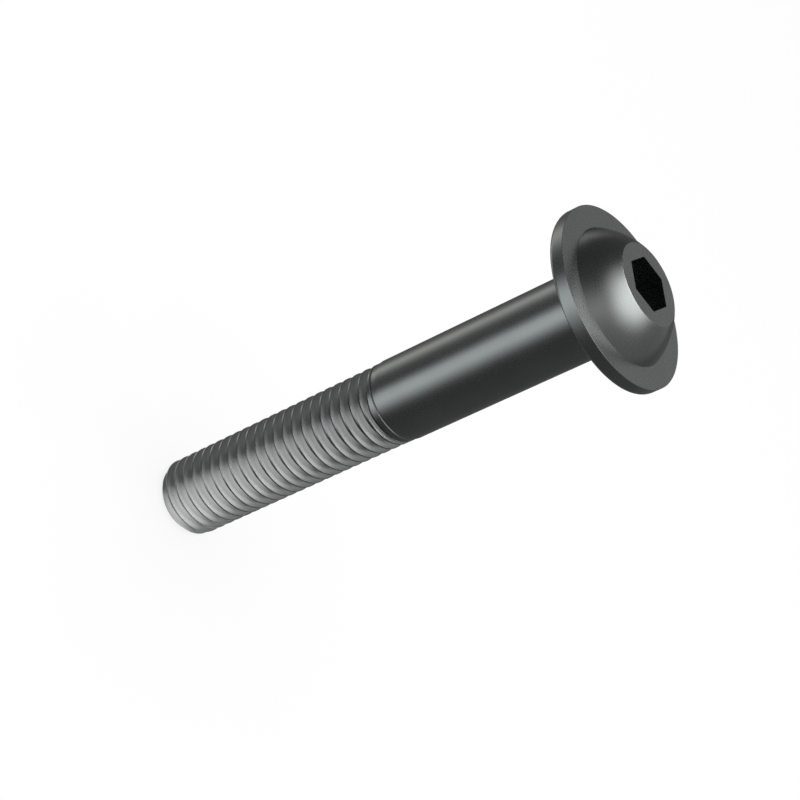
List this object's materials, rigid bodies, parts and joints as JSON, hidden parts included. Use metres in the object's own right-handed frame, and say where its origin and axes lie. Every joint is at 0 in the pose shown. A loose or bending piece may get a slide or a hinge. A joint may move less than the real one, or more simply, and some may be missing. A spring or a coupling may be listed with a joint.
{
  "type": "flanged button head screw",
  "caption": "Flanged button head screw with a hexagon socket, plain shank and partly threaded metric body.",
  "frame": {"origin": "centre of the flat end face of the thread, on which the screw stands", "axes": "+Z along the screw's axis from the threaded end to the crown of the head, +X through a corner of the hexagon socket"},
  "size_m": [0.022, 0.022, 0.0705],
  "materials": {
    "dark_steel": "dull dark grey coating on hardened steel"
  },
  "bodies": {
    "root": {"screw": "dark_steel"}
  },
  "joints": []
}
